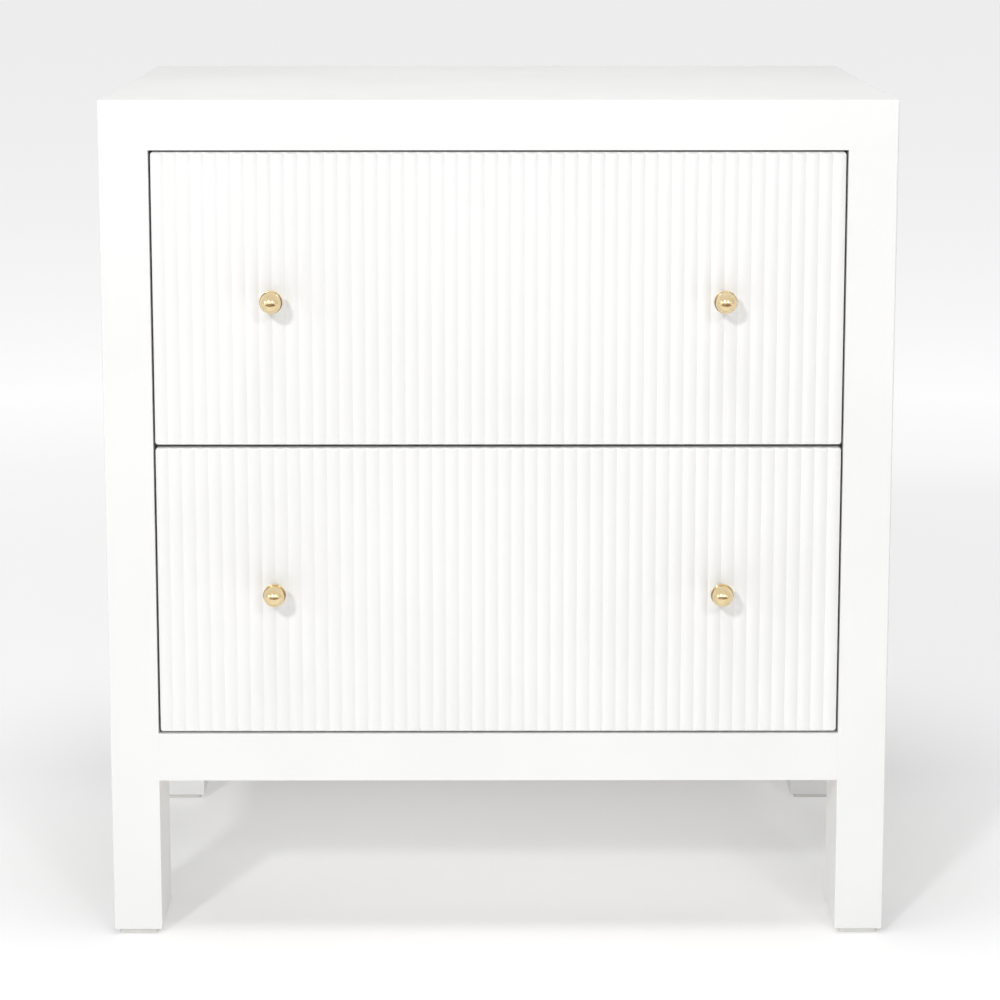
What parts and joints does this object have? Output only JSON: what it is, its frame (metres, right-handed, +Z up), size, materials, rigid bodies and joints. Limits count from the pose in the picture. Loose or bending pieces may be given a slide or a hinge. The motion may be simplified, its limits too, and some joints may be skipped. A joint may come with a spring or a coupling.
{
  "type": "nightstand with drawers",
  "caption": "White-lacquered square-framed nightstand on legs, with inset reeded drawers on ball-bearing slides and small brass ball knobs.",
  "frame": {"origin": "on the floor, in the middle of the object's outline seen from above, knobs included", "axes": "+Z up, -Y out of the drawer fronts towards the user, +X to the right seen from the front"},
  "size_m": [0.61, 0.4856, 0.66],
  "materials": {
    "white_lacquer": "satin white lacquer sprayed on MDF",
    "birch_ply": "clear-lacquered birch plywood",
    "raw_pine": "planed, unfinished",
    "beech_dowel": "fluted, unfinished",
    "polished_brass": "turned and polished",
    "zinc_plated_steel": "cold-rolled strip, bright zinc plated",
    "bearing_steel": "bright steel balls in a pressed cage",
    "screw_steel": "zinc-plated screws",
    "nylon": "moulded nylon"
  },
  "bodies": {
    "cabinet": {"top_panel": "white_lacquer", "front_left_post": "white_lacquer", "front_right_post": "white_lacquer", "rear_left_post": "white_lacquer", "rear_right_post": "white_lacquer", "left_side_panel": "white_lacquer", "right_side_panel": "white_lacquer", "front_bottom_rail": "white_lacquer", "rear_bottom_rail": "white_lacquer", "bottom_panel": "white_lacquer", "back_panel": "white_lacquer", "drawer_divider": "white_lacquer", "top_cleats": "raw_pine", "bottom_cleats": "raw_pine", "upper_slide_battens": "raw_pine", "lower_slide_battens": "raw_pine", "frame_dowels": "beech_dowel", "cabinet_screws": "screw_steel", "back_panel_screws": "screw_steel", "upper_left_cabinet_slide": "zinc_plated_steel", "upper_right_cabinet_slide": "zinc_plated_steel", "lower_left_cabinet_slide": "zinc_plated_steel", "lower_right_cabinet_slide": "zinc_plated_steel", "cabinet_slide_screws": "screw_steel", "floor_glides": "nylon"},
    "upper_drawer": {"upper_drawer_front": "white_lacquer", "upper_box_front": "birch_ply", "upper_box_back": "birch_ply", "upper_box_left_side": "birch_ply", "upper_box_right_side": "birch_ply", "upper_box_base": "birch_ply", "upper_box_dowels": "beech_dowel", "upper_knobs": "polished_brass", "upper_knob_stems": "polished_brass", "upper_knob_screws": "screw_steel", "upper_front_screws": "screw_steel", "upper_left_drawer_slide": "zinc_plated_steel", "upper_right_drawer_slide": "zinc_plated_steel", "upper_drawer_slide_screws": "screw_steel"},
    "upper_middle_members": {"upper_middle_slides": "zinc_plated_steel"},
    "upper_outer_cages": {"upper_outer_ball_cages": "bearing_steel"},
    "upper_inner_cages": {"upper_inner_ball_cages": "bearing_steel"},
    "lower_drawer": {"lower_drawer_front": "white_lacquer", "lower_box_front": "birch_ply", "lower_box_back": "birch_ply", "lower_box_left_side": "birch_ply", "lower_box_right_side": "birch_ply", "lower_box_base": "birch_ply", "lower_box_dowels": "beech_dowel", "lower_knobs": "polished_brass", "lower_knob_stems": "polished_brass", "lower_knob_screws": "screw_steel", "lower_front_screws": "screw_steel", "lower_left_drawer_slide": "zinc_plated_steel", "lower_right_drawer_slide": "zinc_plated_steel", "lower_drawer_slide_screws": "screw_steel"},
    "lower_middle_members": {"lower_middle_slides": "zinc_plated_steel"},
    "lower_outer_cages": {"lower_outer_ball_cages": "bearing_steel"},
    "lower_inner_cages": {"lower_inner_ball_cages": "bearing_steel"}
  },
  "joints": [
    {"name": "upper_drawer_slide", "type": "slide", "parent": "cabinet", "child": "upper_drawer", "axis": [0, -1, 0], "range_m": [0, 0.4]},
    {"name": "upper_middle_member_slide", "type": "slide", "parent": "cabinet", "child": "upper_middle_members", "axis": [0, -1, 0], "range_m": [0, 0.2]},
    {"name": "upper_outer_cage_roll", "type": "slide", "parent": "cabinet", "child": "upper_outer_cages", "axis": [0, -1, 0], "range_m": [0, 0.1]},
    {"name": "upper_inner_cage_roll", "type": "slide", "parent": "cabinet", "child": "upper_inner_cages", "axis": [0, -1, 0], "range_m": [0, 0.3]},
    {"name": "lower_drawer_slide", "type": "slide", "parent": "cabinet", "child": "lower_drawer", "axis": [0, -1, 0], "range_m": [0, 0.4]},
    {"name": "lower_middle_member_slide", "type": "slide", "parent": "cabinet", "child": "lower_middle_members", "axis": [0, -1, 0], "range_m": [0, 0.2]},
    {"name": "lower_outer_cage_roll", "type": "slide", "parent": "cabinet", "child": "lower_outer_cages", "axis": [0, -1, 0], "range_m": [0, 0.1]},
    {"name": "lower_inner_cage_roll", "type": "slide", "parent": "cabinet", "child": "lower_inner_cages", "axis": [0, -1, 0], "range_m": [0, 0.3]}
  ],
  "couplings": [
    {"joint": "upper_middle_member_slide", "follows": "upper_drawer_slide", "ratio": 0.5},
    {"joint": "upper_outer_cage_roll", "follows": "upper_drawer_slide", "ratio": 0.25},
    {"joint": "upper_inner_cage_roll", "follows": "upper_drawer_slide", "ratio": 0.75},
    {"joint": "lower_middle_member_slide", "follows": "lower_drawer_slide", "ratio": 0.5},
    {"joint": "lower_outer_cage_roll", "follows": "lower_drawer_slide", "ratio": 0.25},
    {"joint": "lower_inner_cage_roll", "follows": "lower_drawer_slide", "ratio": 0.75}
  ]
}
